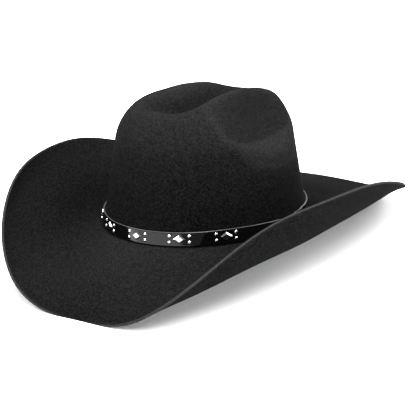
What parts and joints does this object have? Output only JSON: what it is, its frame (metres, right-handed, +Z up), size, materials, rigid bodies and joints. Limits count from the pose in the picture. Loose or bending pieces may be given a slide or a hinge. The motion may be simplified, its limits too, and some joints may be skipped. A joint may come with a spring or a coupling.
{
  "type": "western hat",
  "caption": "Felt hat with a creased crown, wide brim rolled up at both sides and dipped in front, and a leather band with metal studs.",
  "frame": {"origin": "middle of the bounding box's bottom, on the surface that the brim rests on", "axes": "+Z up as the hat rests, -Y to the front of the hat, +X to the wearer's left"},
  "size_m": [0.352, 0.3926, 0.1505],
  "materials": {
    "felt": "black felt, matt with a short fine nap",
    "leather": "black, smooth and glossy",
    "metal": "bright polished"
  },
  "bodies": {
    "root": {"felt_body": "felt", "hat_band": "leather", "band_tab": "leather", "lozenge_stud_1": "metal", "lozenge_stud_2": "metal", "lozenge_stud_3": "metal", "lozenge_stud_4": "metal", "lozenge_stud_5": "metal", "round_stud_1_right_upper": "metal", "round_stud_1_right_lower": "metal", "round_stud_1_left_upper": "metal", "round_stud_1_left_lower": "metal", "round_stud_2_right_upper": "metal", "round_stud_2_right_lower": "metal", "round_stud_2_left_upper": "metal", "round_stud_2_left_lower": "metal", "round_stud_3_right_upper": "metal", "round_stud_3_right_lower": "metal", "round_stud_3_left_upper": "metal", "round_stud_3_left_lower": "metal", "round_stud_4_right_upper": "metal", "round_stud_4_right_lower": "metal", "round_stud_4_left_upper": "metal", "round_stud_4_left_lower": "metal", "round_stud_5_right_upper": "metal", "round_stud_5_right_lower": "metal", "round_stud_5_left_upper": "metal", "round_stud_5_left_lower": "metal"}
  },
  "joints": []
}
